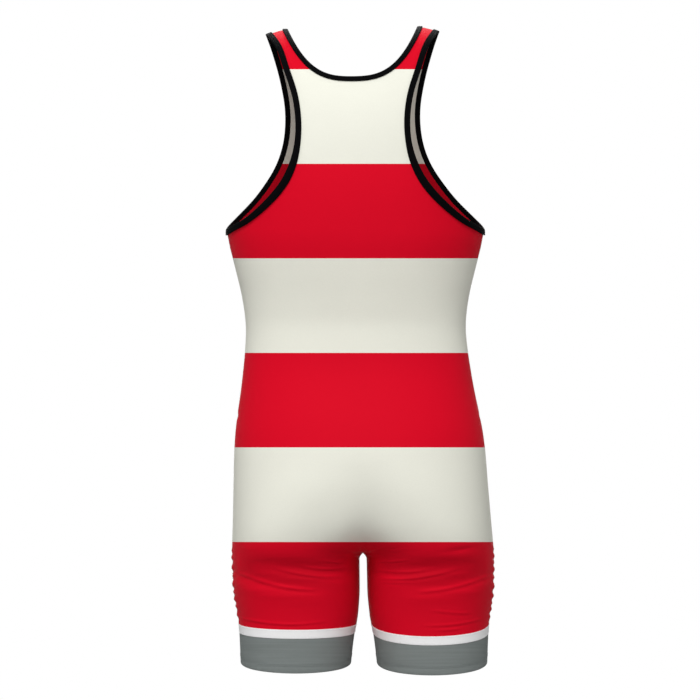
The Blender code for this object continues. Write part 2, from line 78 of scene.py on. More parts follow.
# A crease is a soft ridge with a trough below it. It is seen from one side, and runs from
# one point (across, drop) to another; across is x, or y when it is seen from left or right.
Crease = namedtuple("Crease", "seen start start_drop end end_drop sag height width")
BACK_CREASES = (
    Crease("back", -0.1540, 0.7150, -0.0460, 0.7400, 0.0065, 0.0011, 0.0021),
    Crease("back", -0.1080, 0.7090, -0.0075, 0.7190, 0.0065, 0.0010, 0.0020),
    Crease("back", -0.0740, 0.7070, -0.0080, 0.7105, 0.0040, 0.0008, 0.0017),
    Crease("back", -0.0420, 0.7010, -0.0080, 0.7035, 0.0012, 0.0005, 0.0015),
    Crease("back", -0.0480, 0.7240, -0.0070, 0.7225, 0.0006, 0.0004, 0.0018),
    Crease("back", -0.1470, 0.7770, -0.0680, 0.7850, 0.0030, 0.0007, 0.0017),
    Crease("back", -0.0900, 0.7860, -0.0340, 0.7810, 0.0012, 0.0005, 0.0016),
    Crease("back", 0.1810, 0.7200, 0.0860, 0.7425, 0.0050, 0.0010, 0.0021),
    Crease("back", 0.1430, 0.7105, 0.0340, 0.7240, 0.0062, 0.0010, 0.0020),
    Crease("back", 0.1090, 0.7105, 0.0350, 0.7135, 0.0048, 0.0008, 0.0017),
    Crease("back", 0.0720, 0.7005, 0.0350, 0.7025, 0.0012, 0.0005, 0.0015),
    Crease("back", 0.0770, 0.7300, 0.0350, 0.7285, 0.0006, 0.0004, 0.0018),
    Crease("back", 0.1740, 0.7770, 0.0960, 0.7870, 0.0034, 0.0007, 0.0017),
    Crease("back", 0.1420, 0.7910, 0.1130, 0.7930, 0.0008, 0.0006, 0.0016),
)
FRONT_CREASES = (
    Crease("front", -0.0120, 0.7060, -0.1050, 0.6880, 0.0050, 0.0008, 0.0024),
    Crease("front", -0.0140, 0.7170, -0.0860, 0.7010, 0.0060, 0.0007, 0.0021),
    Crease("front", -0.0160, 0.7290, -0.0660, 0.7200, 0.0030, 0.0005, 0.0018),
    Crease("front", -0.1530, 0.7205, -0.0760, 0.7430, 0.0060, 0.0008, 0.0021),
    Crease("front", -0.1500, 0.7720, -0.0700, 0.7660, 0.0030, 0.0005, 0.0018),
    Crease("front", 0.0330, 0.7050, 0.1320, 0.6850, 0.0060, 0.0008, 0.0024),
    Crease("front", 0.0360, 0.7150, 0.1180, 0.7030, 0.0050, 0.0007, 0.0021),
    Crease("front", 0.0380, 0.7270, 0.0900, 0.7210, 0.0030, 0.0005, 0.0018),
    Crease("front", 0.1810, 0.7230, 0.1010, 0.7440, 0.0050, 0.0008, 0.0021),
    Crease("front", 0.1740, 0.7700, 0.0900, 0.7640, 0.0030, 0.0005, 0.0018),
    Crease("front", -0.0520, 0.6350, 0.0080, 0.6660, 0.0060, 0.0006, 0.0036),
    Crease("front", 0.0700, 0.6380, 0.0180, 0.6680, 0.0050, 0.0006, 0.0036),
)
# The side seams pucker over the thighs, where the thread holds the cloth shorter.
PUCKERS = (
    Crease("left", -0.0180, 0.5100, 0.0120, 0.5120, 0.0000, -0.0012, 0.0026),
    Crease("left", -0.0160, 0.6880, 0.0110, 0.6870, 0.0006, 0.0008, 0.0026),
    Crease("left", -0.0240, 0.6970, 0.0160, 0.6955, 0.0008, 0.0014, 0.0030),
    Crease("left", -0.0200, 0.7100, 0.0220, 0.7095, 0.0008, 0.0013, 0.0034),
    Crease("left", -0.0300, 0.7190, 0.0150, 0.7215, 0.0010, 0.0008, 0.0022),
    Crease("left", -0.0190, 0.7310, 0.0180, 0.7325, 0.0006, 0.0016, 0.0036),
    Crease("left", -0.0270, 0.7420, 0.0210, 0.7410, 0.0010, 0.0010, 0.0026),
    Crease("left", -0.0170, 0.7505, 0.0140, 0.7520, 0.0006, 0.0014, 0.0028),
    Crease("left", -0.0230, 0.7610, 0.0190, 0.7600, 0.0008, 0.0009, 0.0024),
    Crease("left", -0.0150, 0.7720, 0.0120, 0.7725, 0.0004, 0.0012, 0.0030),
    Crease("right", -0.0170, 0.5130, 0.0130, 0.5120, 0.0000, -0.0012, 0.0026),
    Crease("right", -0.0160, 0.6850, 0.0120, 0.6855, 0.0006, 0.0007, 0.0022),
    Crease("right", -0.0200, 0.6940, 0.0140, 0.6950, 0.0006, 0.0012, 0.0030),
    Crease("right", -0.0280, 0.7030, 0.0180, 0.7020, 0.0010, 0.0008, 0.0022),
    Crease("right", -0.0180, 0.7115, 0.0210, 0.7130, 0.0006, 0.0014, 0.0032),
    Crease("right", -0.0250, 0.7225, 0.0150, 0.7220, 0.0010, 0.0011, 0.0026),
    Crease("right", -0.0210, 0.7340, 0.0200, 0.7355, 0.0006, 0.0016, 0.0036),
    Crease("right", -0.0260, 0.7475, 0.0170, 0.7465, 0.0010, 0.0014, 0.0030),
    Crease("right", -0.0170, 0.7560, 0.0150, 0.7570, 0.0006, 0.0008, 0.0022),
    Crease("right", -0.0140, 0.7650, 0.0110, 0.7645, 0.0004, 0.0013, 0.0030),
    Crease("right", -0.0130, 0.7750, 0.0120, 0.7755, 0.0004, 0.0009, 0.0026),
)
# The cloth dips between the two sides of the seat, and below each of them.
SEAT_DIPS = (
    Crease("back", 0.0140, 0.5700, 0.0240, 0.6850, 0.0000, -0.0006, 0.0260),
    Crease("back", -0.1500, 0.7080, -0.0060, 0.7060, 0.0060, -0.0038, 0.0170),
    Crease("back", 0.1760, 0.7080, 0.0340, 0.7060, 0.0060, -0.0038, 0.0170),
)
# The cloth has twice the rows below this height, where its creases are finest.
FINE_ROWS_FROM = -0.6995
UPRIGHT_SHARE = 0.7

# A crease's trough lies below its ridge, by this many widths and with this share of its height.
CREASE_STEPS = 18
CREASE_REACH = 4.0
TROUGH_SHARE = 0.45
TROUGH_OFFSET = 1.9

# A hem's fold: how far in and how far up each row of it lies from the cloth's lower edge
Fold = namedtuple("Fold", "inward rise")
HEM_FOLD = (
    Fold(0.0002, -0.0005),
    Fold(0.0007, -0.0008),
    Fold(0.0012, -0.0008),
    Fold(0.0017, -0.0005),
    Fold(0.0019, 0.0),
)

# Studio: floor, light and camera
FLOOR_SIDES = 96
FLOOR_RADIUS = 9.0
FLOOR_HEIGHT = -0.95
FLOOR_ROUGHNESS = 0.9
CAMERA_PLACE = (-0.0033, -5.13, -0.4234)
CAMERA_FRAME = 0.924
AIR_LIGHT = 0.34
FLOOR_PAINT = (0.97, 0.97, 0.97, 1.0)
FLOOR_BOUNCE = (0.30, 0.30, 0.30, 1.0)
SOFTBOX_AWAY = 5.0
SOFTBOX_SIZE = 2.4
SOFTBOX_AIM = -0.40
Softbox = namedtuple("Softbox", "name azimuth height power")
SOFTBOXES = (
    Softbox("back_softbox", -12, 47, 158.0),
    Softbox("front_softbox", 180, 47, 158.0),
    Softbox("back_fill", 0, 4, 50.0),
    Softbox("front_fill", 180, 4, 50.0),
    Softbox("left_softbox", 270, 30, 20.0),
    Softbox("right_softbox", 90, 30, 16.0),
)

# Finishes. A knit's wale and course are its loops' width and height.
Knit = namedtuple("Knit", "roughness sheen wale course bump spread")
PANEL_KNIT = Knit(0.55, 0.01, 0.0011, 0.0009, 0.25, 0.05)
BINDING_KNIT = Knit(0.60, 0.00, 0.0008, 0.0016, 0.40, 0.20)
STRIPE_KNIT = Knit(0.60, 0.02, 0.0010, 0.0010, 0.20, 0.02)
BAND_KNIT = Knit(0.65, 0.02, 0.0012, 0.0010, 0.50, 0.06)
CLOTH_GLOSS = 0.03
SHEEN_ROUGHNESS = 0.45
KNIT_DEPTH = 0.0003
WALE_HEIGHT = 0.25
FUZZ_HEIGHT = 0.35
FUZZ_SCALE = 900.0
PATCH_SCALE = 14.0
FLECK_SCALE = 520.0
# Painted shade in the troughs of folds: how much darker per metre of depth, and the most it darkens
PAINTED_FOLD_SHADE = 100.0
DARKEST_PAINTED_FOLD_SHADE = -0.20
# Painted shade on the panels' inner face: the share of its colour that is kept
INSIDE_PAINTED_SHADE = 0.62
BAND_STREAKS = 0.30
STREAK_DETAIL = 4.0
STREAK_SCALE = (10.0, 10.0, 420.0)
THREAD_ROUGHNESS = 0.6
THREAD_BUMP = 0.4
THREAD_DEPTH = 0.0002
THREAD_SCALE = 2400.0
THREAD_SPREAD = 0.15

# A binding's tape is wider where it turns under the arm.
UNDER_ARM_MIDDLE = -0.205
UNDER_ARM_REACH = 0.055
UNDER_ARM_WIDER = 0.0026

# How far a leg's stripe and band stand out, how far their edges reach over the cloth
# beside them, and the band's thickness as a share of the stripe's
STRIPE_RAISED = 0.0004
STRIPE_REACH = 0.0006
BAND_RAISED = 0.0
BAND_REACH = 0.0002
BAND_SHARE = 0.8

# Sewing
STITCH_SIDES = 6
STITCH_RINGS = 4
ORDER_DIGITS = 7
STITCH_PITCH = 0.0032
BAR_PITCH = 0.0022
BAR_LENGTH = 0.0050
BAR_LEAN = 0.35
RAILS = (-0.0024, 0.0024)
TAPE_ROWS = (0.0012, 0.0040)
STRIPE_ROW = 0.0016
HEM_ROWS = (0.0085, 0.0105)
NEAR_SIDE = 0.0005
THREAD_FLATNESS = 0.75

LEGS = ("left", "right")

# The size each piece was cut to, before it was sewn and stretched over a wearer
Cut = namedtuple("Cut", "width length area")
BACK_CUT = Cut(0.430, 0.790, 0.255)
FRONT_CUT = Cut(0.430, 0.780, 0.245)
NECK_CUT = Cut(0.0157, 0.700, None)
ARMHOLE_CUT = Cut(0.0177, 0.700, None)


class SingletSizes(bpy.types.PropertyGroup):
    """The thicknesses and the sewing of the cloth."""

    cloth: FloatProperty(
        name="Cloth",
        description="Thickness of the panels' knit",
        default=0.0009,
        unit="LENGTH",
    )
    tape: FloatProperty(
        name="Tape",
        description="Thickness of the binding tape",
        default=0.0006,
        unit="LENGTH",
    )
    band: FloatProperty(
        name="Band",
        description="Thickness of the stripes and leg bands",
        default=0.0009,
        unit="LENGTH",
    )
    overlap: FloatProperty(
        name="Overlap",
        description="How far a tape lies over the cloth beside it",
        default=0.0013,
        unit="LENGTH",
    )
    groove: FloatProperty(
        name="Seam groove",
        description="How far the cloth sinks at a seam",
        default=0.0005,
        unit="LENGTH",
    )
    hem: FloatProperty(
        name="Hem",
        description="How far a leg's hem is turned up inside",
        default=0.0110,
        unit="LENGTH",
    )
    stitch: FloatProperty(
        name="Stitch",
        description="Length of one stitch",
        default=0.0026,
        unit="LENGTH",
    )
    thread: FloatProperty(
        name="Thread",
        description="Thickness of the sewing thread",
        default=0.0005,
        unit="LENGTH",
    )


class SingletColours(bpy.types.PropertyGroup):
    """The dyes of the cloth and the thread."""

    red: FloatVectorProperty(
        name="Red",
        description="First hoop",
        subtype="COLOR",
        size=4,
        min=0,
        max=1,
        default=(0.72, 0.003, 0.019, 1),
    )
    cream: FloatVectorProperty(
        name="Cream",
        description="Second hoop",
        subtype="COLOR",
        size=4,
        min=0,
        max=1,
        default=(0.86, 0.86, 0.76, 1),
    )
    white: FloatVectorProperty(
        name="White",
        description="Leg stripes",
        subtype="COLOR",
        size=4,
        min=0,
        max=1,
        default=(0.98, 0.98, 0.98, 1),
    )
    grey: FloatVectorProperty(
        name="Grey",
        description="Leg bands",
        subtype="COLOR",
        size=4,
        min=0,
        max=1,
        default=(0.235, 0.262, 0.255, 1),
    )
    pale: FloatVectorProperty(
        name="Pale",
        description="Seam thread",
        subtype="COLOR",
        size=4,
        min=0,
        max=1,
        default=(0.80, 0.80, 0.72, 1),
    )
    black: FloatVectorProperty(
        name="Black",
        description="Binding",
        subtype="COLOR",
        size=4,
        min=0,
        max=1,
        default=(0.0020, 0.0020, 0.0025, 1),
    )


def deselect():
    """Leaves edit mode and selects nothing."""
    if bpy.context.object and bpy.context.object.mode != "OBJECT":
        bpy.ops.object.mode_set(mode="OBJECT")
    bpy.ops.object.select_all(action="DESELECT")


def activate(piece):
    """Makes a piece the only one that operators act on."""
    deselect()
    piece.select_set(True)
    bpy.context.view_layer.objects.active = piece


def merged_copy(node, name):
    """A new piece with a node's mesh, its loose triangles merged, left in edit mode."""
    piece = bpy.data.objects.new(name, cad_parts[node].data.copy())
    piece.data.name = name
    piece.data.materials.clear()
    bpy.context.scene.collection.objects.link(piece)
    activate(piece)
    bpy.ops.object.mode_set(mode="EDIT")
    bpy.ops.mesh.select_all(action="SELECT")
    bpy.ops.mesh.remove_doubles(threshold=MERGE)
    bpy.ops.mesh.customdata_custom_splitnormals_clear()
    bpy.ops.mesh.mark_sharp(clear=True)
    return piece


def smooth_groups(mesh, angle):
    """The faces in groups that edges sharper than the angle divide."""
    mesh.faces.ensure_lookup_table()
    seen, groups = set(), []
    for first in mesh.faces:
        if first in seen:
            continue
        seen.add(first)
        group, waiting = [], [first]
        while waiting:
            face = waiting.pop()
            group.append(face)
            for edge in face.edges:
                if len(edge.link_faces) == 2 and edge.calc_face_angle(0.0) < angle:
                    for other in edge.link_faces:
                        if other not in seen:
                            seen.add(other)
                            waiting.append(other)
        groups.append(group)
    return groups


def keep_group(piece, angle, worth):
    """Keeps the group of faces that is worth most, and makes its triangles quads."""
    mesh = bmesh.from_edit_mesh(piece.data)
    groups = smooth_groups(mesh, angle)
    kept = max(groups, key=worth)
    spare = [face for group in groups if group is not kept for face in group]
    bmesh.ops.delete(mesh, geom=spare, context="FACES")
    bmesh.update_edit_mesh(piece.data)
    bpy.ops.mesh.select_all(action="SELECT")
    bpy.ops.mesh.tris_convert_to_quads(
        face_threshold=QUAD_ANGLE, shape_threshold=QUAD_SHAPE, topology_influence=QUAD_ORDER
    )


def even_rim(piece):
    """Parts a face that has taken in a vertex of a sheet's straight rim."""
    mesh = bmesh.from_edit_mesh(piece.data)
    for vert in [v for v in mesh.verts if v.is_boundary and len(v.link_faces) == 1]:
        face = vert.link_faces[0]
        before, after = (edge.other_vert(vert).co - vert.co for edge in vert.link_edges)
        if len(face.verts) == 4 and before.angle(after) > STRAIGHT_RIM:
            beside = {edge.other_vert(vert) for edge in face.edges if vert in edge.verts}
            opposite = next(v for v in face.verts if v is not vert and v not in beside)
            bmesh.utils.face_split(face, vert, opposite)
    bmesh.update_edit_mesh(piece.data)


def outer_skin(piece):
    """Keeps only the outer face of a wall of cloth."""
    corners = np.array(piece.bound_box)
    middle = Vector((corners.min(0) + corners.max(0)) / 2)
    middle.y = 0.0

    def outwardness(group):
        return sum(f.calc_area() * f.normal.dot(f.calc_center_median() - middle) for f in group)

    keep_group(piece, SKIN_ANGLE, outwardness)


def open_edges(mesh):
    """The loops of a sheet's open edges as vertices in order, the cloth on their left."""
    following = {}
    for edge in mesh.edges:
        if edge.is_boundary:
            corner = edge.link_loops[0]
            following[corner.vert] = corner.link_loop_next.vert
    loops = []
    while following:
        vert = next(iter(following))
        loop = []
        while vert in following:
            loop.append(vert)
            vert = following.pop(vert)
        loops.append(loop)
    return loops


def across(vert):
    """The vertices straight across a sheet of quads, from one open edge to the other."""
    chain = [vert]
    edge = next(e for e in vert.link_edges if not e.is_boundary)
    while True:
        vert = edge.other_vert(vert)
        chain.append(vert)
        ahead = [e for e in vert.link_edges if not set(e.link_faces) & set(edge.link_faces)]
        if vert.is_boundary or len(ahead) != 1:
            return chain
        edge = ahead[0]


def ring_rows(mesh, first_edge):
    """A ring-shaped sheet of quads as rows across it, from the edge that first_edge picks."""
    edge = max(open_edges(mesh), key=first_edge)
    rows = [across(vert) for vert in edge]
    if len({len(row) for row in rows}) != 1:
        raise RuntimeError("the sheet isn't an even ring of quads")
    return rows


def lay_out_ring(mesh, rows):
    """Gives a ring its flat layout in metres: V along the ring, U across it."""
    layer = mesh.loops.layers.uv.verify()
    middle = len(rows[0]) // 2
    along, spots = 0.0, {}
    for i, row in enumerate(rows):
        if i:
            along += (row[middle].co - rows[i - 1][middle].co).length
        width = 0.0
        for k, vert in enumerate(row):
            if k:
                width += (vert.co - row[k - 1].co).length
            spots[vert] = (width, along, i)
    total = along + (rows[0][middle].co - rows[-1][middle].co).length
    for face in mesh.faces:
        wraps = {spots[v][2] for v in face.verts} >= {0, len(rows) - 1}
        for corner in face.loops:
            width, along, i = spots[corner.vert]
            corner[layer].uv = (width, total if wraps and i == 0 else along)


def lay_out_panel(piece):
    """Unwraps a panel, and sizes and turns its flat layout to metres with V up."""
    bpy.ops.mesh.select_all(action="SELECT")
    bpy.ops.uv.unwrap(method="CONFORMAL", margin=0.0)
    mesh = bmesh.from_edit_mesh(piece.data)
    layer = mesh.loops.layers.uv.verify()
    corners = [corner for face in mesh.faces for corner in face.loops]
    flat = np.array([corner[layer].uv for corner in corners])
    height = np.array([corner.vert.co.z for corner in corners])
    slope = np.linalg.lstsq(np.column_stack((flat, np.ones(len(flat)))), height, rcond=None)[0][:2]
    up = slope / np.linalg.norm(slope)
    edges = [(c, c.link_loop_next) for c in corners]
    true = sum((a.vert.co - b.vert.co).length for a, b in edges)
    drawn = sum((a[layer].uv - b[layer].uv).length for a, b in edges)
    for corner, (u, v) in zip(corners, flat * true / drawn):
        corner[layer].uv = (u * up[1] - v * up[0], u * up[0] + v * up[1])
    bmesh.update_edit_mesh(piece.data)


def apply_modifier(piece, kind, **settings):
    """Adds a modifier to the active piece and applies it."""
    modifier = piece.modifiers.new(kind.lower(), kind)
    for name, value in settings.items():
        setattr(modifier, name, value)
    bpy.ops.object.modifier_apply(modifier=modifier.name)


def rounded(piece, levels=2):
    """Smooths a sheet, with its corners kept."""
    apply_modifier(
        piece, "SUBSURF", levels=levels, render_levels=levels, boundary_smooth="PRESERVE_CORNERS"
    )


def walled(piece, thickness, inner=0):
    """Thickens a sheet inwards; its inner face takes the material this many slots on."""
    apply_modifier(
        piece,
        "SOLIDIFY",
        thickness=thickness,
        offset=-1.0,
        use_even_offset=False,
        material_offset=inner,
    )
    bpy.ops.object.shade_smooth_by_angle(angle=SMOOTH_ANGLE)


def places_of(piece):
    """The piece's vertices and their normals as arrays."""
    count = len(piece.data.vertices)
    places, normals = np.zeros(count * 3), np.zeros(count * 3)
    piece.data.vertices.foreach_get("co", places)
    piece.data.vertex_normals.foreach_get("vector", normals)
    return places.reshape(-1, 3), normals.reshape(-1, 3)


def move_to(piece, places):
    """Moves the piece's vertices to the places."""
    piece.data.vertices.foreach_set("co", places.ravel())
    piece.data.update()


def close_seams(piece, groove):
    """Brings the panel's seam edges to the seam line, and sinks them a little."""
    places, normals = places_of(piece)
    at_seam = np.abs(places[:, 1]) < SEAM_REACH
    inward = -normals * [1, 0, 1]
    places[at_seam, 1] = 0.0
    places[at_seam] += groove * inward[at_seam]
    move_to(piece, places)


def crease_line(tree, crease):
    """Points along a crease on the cloth, with the way up the cloth at each."""
    points, ups = [], []
    for k in range(CREASE_STEPS + 1):
        t = k / CREASE_STEPS
        reach = crease.start + (crease.end - crease.start) * t
        drop = crease.start_drop + (crease.end_drop - crease.start_drop) * t
        drop += crease.sag * 4 * t * (1 - t)
        origin, way = {
            "back": (Vector((reach, -CAST_FROM, -drop)), Vector((0, 1, 0))),
            "front": (Vector((reach, CAST_FROM, -drop)), Vector((0, -1, 0))),
            "left": (Vector((-CAST_FROM, reach, -drop)), Vector((1, 0, 0))),
            "right": (Vector((CAST_FROM, reach, -drop)), Vector((-1, 0, 0))),
        }[crease.seen]
        place, normal, _, _ = tree.ray_cast(origin, way)
        if place is None:
            spot = f"{reach:.3f}, {drop:.3f}"
            raise RuntimeError(f"a crease seen from the {crease.seen} leaves the cloth at {spot}")
        points.append(place)
        ups.append(normal)
    points = np.array(points)
    along = np.gradient(points, axis=0)
    ups = np.cross(np.array(ups), along)
    ups /= np.linalg.norm(ups, axis=1)[:, None]
    runs_level = np.abs(along[:, 2]).sum() < np.abs(along[:, :2]).sum()
    heading = ups[:, 2 if runs_level else 0].sum()
    return points, ups * (1 if heading > 0 else -1)


def crease_push(places, line, crease):
    """How far a crease moves each place out along its normal."""
    points, ups = line
    push = np.zeros(len(places))
    reach = CREASE_REACH * crease.width
    near = np.all((places > points.min(0) - reach) & (places < points.max(0) + reach), axis=1)
    spots = places[near][:, None, :]
    starts, spans = points[:-1], np.diff(points, axis=0)
    t = np.clip(((spots - starts) * spans).sum(2) / (spans**2).sum(1), 0, 1)
    offsets = spots - (starts + spans * t[:, :, None])
    nearest = np.argmin((offsets**2).sum(2), axis=1)
    pick = np.arange(len(nearest)), nearest
    offset, t = offsets[pick], t[pick]
    up = ups[nearest] * (1 - t)[:, None] + ups[nearest + 1] * t[:, None]
    distance = np.sqrt((offset**2).sum(1)) * np.sign((offset * up).sum(1)) / crease.width
    profile = np.exp(-(distance**2))
    if crease.height > 0:
        profile -= TROUGH_SHARE * np.exp(-((distance + TROUGH_OFFSET) ** 2))
    ends = np.sqrt(np.sin(np.pi * np.clip((nearest + t) / CREASE_STEPS, 0, 1)))
    push[near] = crease.height * profile * ends
    return push


def crease_cloth(sheets, creases):
    """Moves the creases into the sheets, which share them where they meet."""
    tree = tree_of(*sheets)
    lines = [crease_line(tree, crease) for crease in creases]
    for sheet in sheets:
        places, normals = places_of(sheet)
        at_seam = np.abs(places[:, 1]) < MERGE
        normals[at_seam, 1] = 0.0
        push = sum(crease_push(places, line, crease) for line, crease in zip(lines, creases))
        move_to(sheet, places + normals * push[:, None])
        # The push is kept as the fold attribute, and the materials paint shade into the troughs
        # from it
        depth = sheet.data.attributes.new("fold", "FLOAT", "POINT")
        depth.data.foreach_set("value", push.astype(np.float32))


def finer_rows(piece):
    """Halves the rows of quads below the crotch, where the creases are finest."""
    mesh = bmesh.from_edit_mesh(piece.data)
    uprights = []
    for edge in mesh.edges:
        a, b = (vert.co for vert in edge.verts)
        if (a.z + b.z) / 2 < FINE_ROWS_FROM and abs(a.z - b.z) > UPRIGHT_SHARE * edge.calc_length():
            uprights.append(edge)
    bmesh.ops.subdivide_edges(mesh, edges=uprights, cuts=1)
    bmesh.update_edit_mesh(piece.data)


def panel_sheet(node, name, settings):
    """A panel's single layer of cloth, before its creases and its wall."""
    piece = merged_copy(node, name)
    outer_skin(piece)
    even_rim(piece)
    finer_rows(piece)
    lay_out_panel(piece)
    bpy.ops.object.mode_set(mode="OBJECT")
    rounded(piece)
    close_seams(piece, settings.groove)
    return piece


def tape_sheet(node, name, settings):
    """A folded binding, open on the side of the cloth that it holds."""
    piece = merged_copy(node, name)
    keep_group(piece, STRIP_ANGLE, lambda group: sum(face.calc_area() for face in group))
    mesh = bmesh.from_edit_mesh(piece.data)
    rows = ring_rows(mesh, lambda loop: sum(v.normal.dot(v.co - GARMENT_MIDDLE) for v in loop))
    lay_out_ring(mesh, rows)
    for row in rows:
        away = (row[0].co.z - UNDER_ARM_MIDDLE) / UNDER_ARM_REACH
        overlap = settings.overlap + UNDER_ARM_WIDER * max(1 - away * away, 0.0)
        for edge, beside in ((row[0], row[1]), (row[-1], row[-2])):
            edge.co += (edge.co - beside.co).normalized() * overlap
    bmesh.update_edit_mesh(piece.data)
    bpy.ops.object.mode_set(mode="OBJECT")
    rounded(piece)
    return piece


def mean_height(verts):
    """The mean height of some vertices."""
    return sum(vert.co.z for vert in verts) / len(verts)


def leg_sheet(node, name, raised, reach, hem=0.0):
    """A leg's stripe or band as a single layer. Its edges reach over the cloth beside it,
    and with a hem its lower edge is turned up inside. Also returns its edges."""
    piece = merged_copy(node, name)
    outer_skin(piece)
    mesh = bmesh.from_edit_mesh(piece.data)
    rows = ring_rows(mesh, mean_height)
    lay_out_ring(mesh, rows)
    for row in rows:
        row[0].co += (row[0].co - row[1].co).normalized() * reach
        if not hem:
            row[-1].co += (row[-1].co - row[-2].co).normalized() * reach
    mesh.normal_update()
    for vert in mesh.verts:
        vert.co += vert.normal * raised
    bmesh.update_edit_mesh(piece.data)
    bpy.ops.object.mode_set(mode="OBJECT")
    rounded(piece)
    edges = edge_lines(piece)
    edges.sort(key=lambda line: -line.points[:, 2].mean())
    if hem:
        bpy.ops.object.mode_set(mode="EDIT")
        mesh = bmesh.from_edit_mesh(piece.data)
        turn_hem(mesh, min(open_edges(mesh), key=mean_height), hem)
        bmesh.update_edit_mesh(piece.data)
        bpy.ops.object.mode_set(mode="OBJECT")
    return piece, edges


def turn_hem(mesh, edge, depth):
    """Folds a lower edge inwards and up."""
    layer = mesh.loops.layers.uv.verify()
    ways = [Vector((vert.normal.x, vert.normal.y, 0)).normalized() for vert in edge]
    places = [vert.co.copy() for vert in edge]
    along = [0.0]
    for a, b in zip(places, places[1:] + places[:1]):
        along.append(along[-1] + (b - a).length)
    last = edge
    for inward, rise in (*HEM_FOLD, Fold(HEM_FOLD[-1].inward, depth)):
        up = Vector((0, 0, rise))
        fresh = [mesh.verts.new(place - way * inward + up) for place, way in zip(places, ways)]
        for i in range(len(edge)):
            k = (i + 1) % len(edge)
            corners = (
                (last[k], 0, i + 1),
                (last[i], 0, i),
                (fresh[i], rise, i),
                (fresh[k], rise, i + 1),
            )
            face = mesh.faces.new([vert for vert, _, _ in corners])
            face.smooth = True
            for corner, (_, u, v) in zip(face.loops, corners):
                corner[layer].uv = (u, along[v])
        last = fresh


Line = namedtuple("Line", "points normals closed")


def edge_lines(piece):
    """A sheet's open edges as closed lines with the cloth's normals."""
    mesh = bmesh.new()
    mesh.from_mesh(piece.data)
    lines = []
    for loop in open_edges(mesh):
        points = np.array([vert.co for vert in loop])
        normals = np.array([vert.normal for vert in loop])
        lines.append(Line(points, normals, True))
    mesh.free()
    return lines


def directions(line):
    """The way along a line at each of its points."""
    if line.closed:
        ways = np.roll(line.points, -1, axis=0) - np.roll(line.points, 1, axis=0)
    else:
        ways = np.gradient(line.points, axis=0)
    return ways / np.linalg.norm(ways, axis=1)[:, None]


def inset(line, distance):
    """A line moved into the cloth from its edge."""
    inward = np.cross(line.normals, directions(line))
    return Line(line.points + inward * distance, line.normals, line.closed)


def seam_lines(sheet):
    """The parts of a panel's edge that lie on the seams."""
    edge = max(edge_lines(sheet), key=lambda line: len(line.points))
    on_seam = np.abs(edge.points[:, 1]) < MERGE
    first = int(np.argmin(on_seam))
    order = np.roll(np.arange(len(on_seam)), -first)
    lines, run = [], []
    for i in (*order, first):
        if on_seam[i]:
            run.append(i)
        elif run:
            if len(run) > 2:
                lines.append(Line(edge.points[run], edge.normals[run] * [1, 0, 1], False))
            run = []
    return lines


def even_places(line, pitch):
    """Places at an even pitch along a line, with the way along it and the normal at each."""
    points, normals = line.points, line.normals
    if line.closed:
        points, normals = np.vstack((points, points[:1])), np.vstack((normals, normals[:1]))
    lengths = np.concatenate(([0.0], np.cumsum(np.linalg.norm(np.diff(points, axis=0), axis=1))))
    count = max(round(lengths[-1] / pitch), 2)
    wanted = (np.arange(count) + 0.5) * lengths[-1] / count

    def read(table, at):
        return np.column_stack([np.interp(at, lengths, column) for column in table.T])

    ways = read(points, wanted + pitch / 4) - read(points, wanted - pitch / 4)
    return read(points, wanted), ways, read(normals, wanted)


def on_cloth(tree, places, ways, normals, lift):
    """The places moved onto the cloth, each with its axes: along, across and out."""
    spots = []
    for place, way, normal in zip(places, ways, normals):
        spot, out, _, _ = tree.find_nearest(Vector(place) + Vector(normal) * NEAR_SIDE)
        if out.dot(Vector(normal)) < 0:
            out = -out
        way = Vector(way)
        along = (way - out * way.dot(out)).normalized()
        spots.append((spot + out * lift, along, out.cross(along), out))
    return spots


def model_stitch(sizes, length):
    """One stitch: a bead of thread along X, thickest in its middle."""
    deselect()
    bpy.ops.mesh.primitive_uv_sphere_add(
        segments=STITCH_SIDES, ring_count=STITCH_RINGS, radius=sizes.thread / 2
    )
    bead = bpy.context.object
    bpy.ops.object.mode_set(mode="EDIT")
    bpy.ops.mesh.select_all(action="SELECT")
    bpy.ops.transform.rotate(value=math.pi / 2, orient_axis="Y", center_override=(0, 0, 0))
    bpy.ops.transform.resize(value=(1, 1, THREAD_FLATNESS), center_override=(0, 0, 0))
    for side in (-1, 1):
        mesh = bmesh.from_edit_mesh(bead.data)
        for vert in mesh.verts:
            vert.select_set(vert.co.x * side > sizes.thread / 8)
        mesh.select_flush_mode()
        bmesh.update_edit_mesh(bead.data)
        bpy.ops.transform.translate(value=(side * (length - sizes.thread) / 2, 0, 0))
    bpy.ops.object.mode_set(mode="OBJECT")
    shape = in_order(bead.data)
    bpy.data.objects.remove(bead)
    return shape


def in_order(mesh):
    """A mesh's vertices and faces, ordered by place so that they are the same in each run."""
    places = np.array([vert.co for vert in mesh.vertices])
    order = np.lexsort(np.round(places, ORDER_DIGITS).T)
    rank = np.argsort(order)
    faces = []
    for face in mesh.polygons:
        corners = [int(rank[corner]) for corner in face.vertices]
        first = corners.index(min(corners))
        faces.append(tuple(corners[first:] + corners[:first]))
    return places[order], sorted(faces)


def sewn(name, stitch, spots, material):
    """A piece that holds one copy of a stitch at each spot."""
    corners, sides = stitch
    places, faces = [], []
    for n, (spot, along, side, out) in enumerate(spots):
        axes = np.array((along, side, out))
        places.append(corners @ axes + np.array(spot))
        faces += [tuple(v + n * len(corners) for v in face) for face in sides]
    mesh = bpy.data.meshes.new(name)
    mesh.from_pydata(np.vstack(places).tolist(), [], faces)
    mesh.shade_smooth()
    mesh.materials.append(material)
    piece = bpy.data.objects.new(name, mesh)
    bpy.context.scene.collection.objects.link(piece)
    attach(piece, "root")
    return piece


